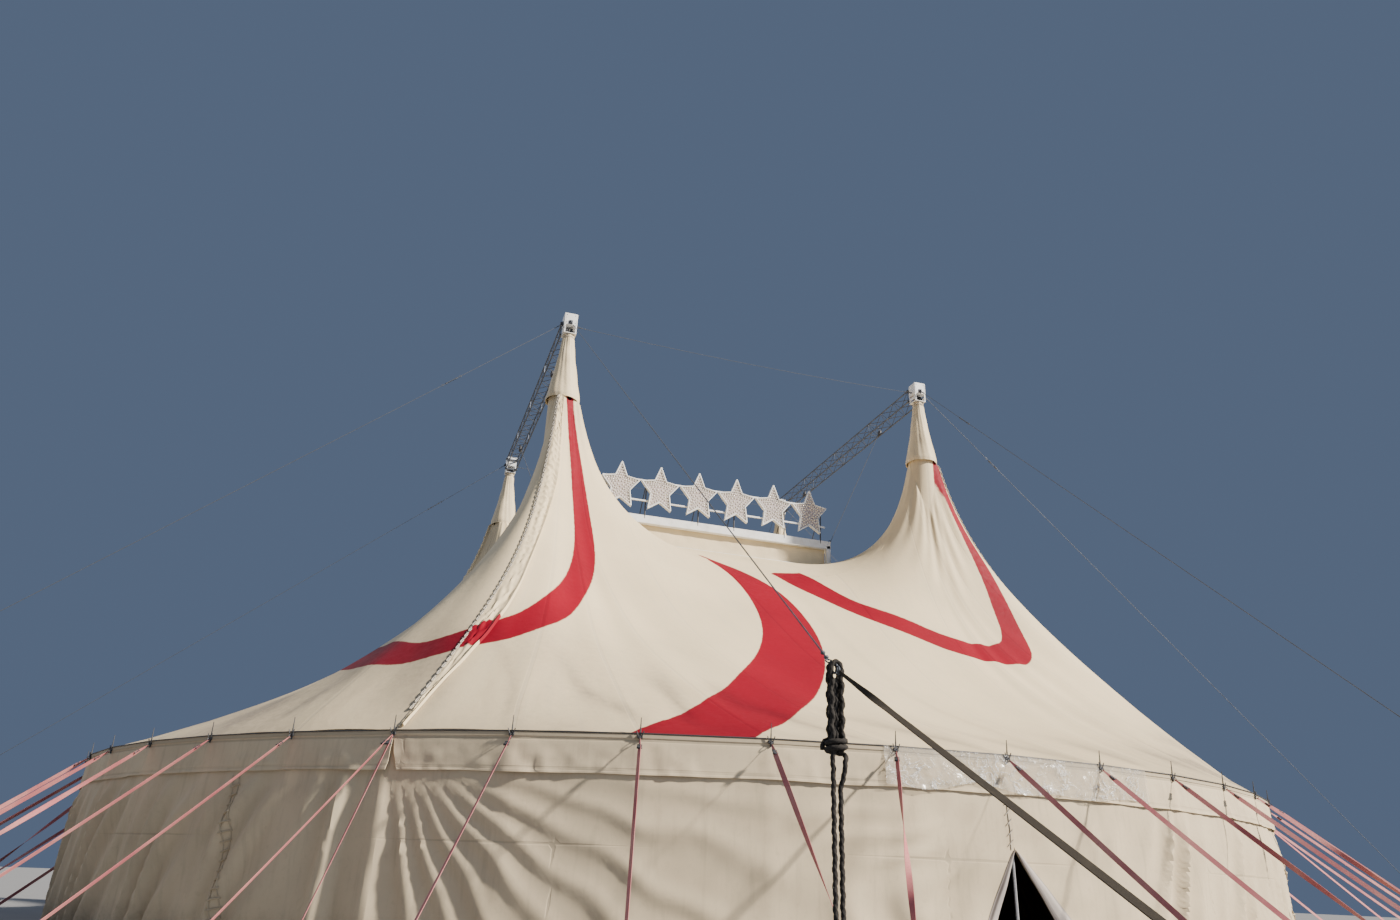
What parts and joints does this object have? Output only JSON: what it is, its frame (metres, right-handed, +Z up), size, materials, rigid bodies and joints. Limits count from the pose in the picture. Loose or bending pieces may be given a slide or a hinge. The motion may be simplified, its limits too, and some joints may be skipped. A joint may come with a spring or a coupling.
{
  "type": "circus big top tent, 1:2 scale model",
  "caption": "Round canvas big top with tall masts, laced roof cones, side walls, a cupola with a star sign, trusses, straps and guys, at 1:2 scale.",
  "frame": {"origin": "centre of the tent on the ground, between the masts", "axes": "+Z up; -Y is the front side with the entrance and the sign; +X from the front left mast to the front right mast"},
  "size_m": [28.104, 32.604, 9.3675],
  "materials": {
    "roof_canvas": "coated cream canvas",
    "wall_canvas": "dull khaki canvas",
    "ribbon_red": "crimson canvas",
    "white_paint": "white gloss",
    "galvanised_steel": "galvanised",
    "dark_steel": "weathered wire",
    "strap_webbing": "faded red webbing",
    "black_rope": "worn black rope"
  },
  "bodies": {
    "root": {"mast_front_left": "galvanised_steel", "mast_head_front_left": "white_paint", "mast_cap_front_left": "roof_canvas", "mast_front_right": "galvanised_steel", "mast_head_front_right": "white_paint", "mast_cap_front_right": "roof_canvas", "mast_rear_right": "galvanised_steel", "mast_head_rear_right": "white_paint", "mast_cap_rear_right": "roof_canvas", "mast_rear_left": "galvanised_steel", "mast_head_rear_left": "white_paint", "mast_cap_rear_left": "roof_canvas", "canopy_front": "roof_canvas", "canopy_right": "roof_canvas", "canopy_rear": "roof_canvas", "canopy_left": "roof_canvas", "canopy_middle": "roof_canvas", "sidewall_front_left": "wall_canvas", "sidewall_front_right": "wall_canvas", "sidewall_right": "wall_canvas", "sidewall_rear": "wall_canvas", "sidewall_left": "wall_canvas", "entrance_flap": "wall_canvas", "valance_front": "wall_canvas", "valance_right": "wall_canvas", "valance_rear": "wall_canvas", "valance_left": "wall_canvas", "side_poles_front": "galvanised_steel", "side_poles_right": "galvanised_steel", "side_poles_rear": "galvanised_steel", "side_poles_left": "galvanised_steel", "guy_straps_front": "strap_webbing", "guy_straps_right": "strap_webbing", "guy_straps_rear": "strap_webbing", "guy_straps_left": "strap_webbing", "truss_left": "galvanised_steel", "truss_right": "galvanised_steel", "cupola_frame": "white_paint", "cupola_skirt": "roof_canvas", "cupola_roof": "roof_canvas", "sign": "white_paint", "mast_guy_front_left": "dark_steel", "mast_guy_front_right": "dark_steel", "mast_guy_rear_right": "dark_steel", "mast_guy_rear_left": "dark_steel", "side_guy_front_left": "dark_steel", "side_guy_front_right": "dark_steel", "side_guy_rear_right": "dark_steel", "side_guy_rear_left": "dark_steel", "head_cable_front": "dark_steel", "head_cable_rear": "dark_steel", "rope_hank": "black_rope"}
  },
  "joints": []
}
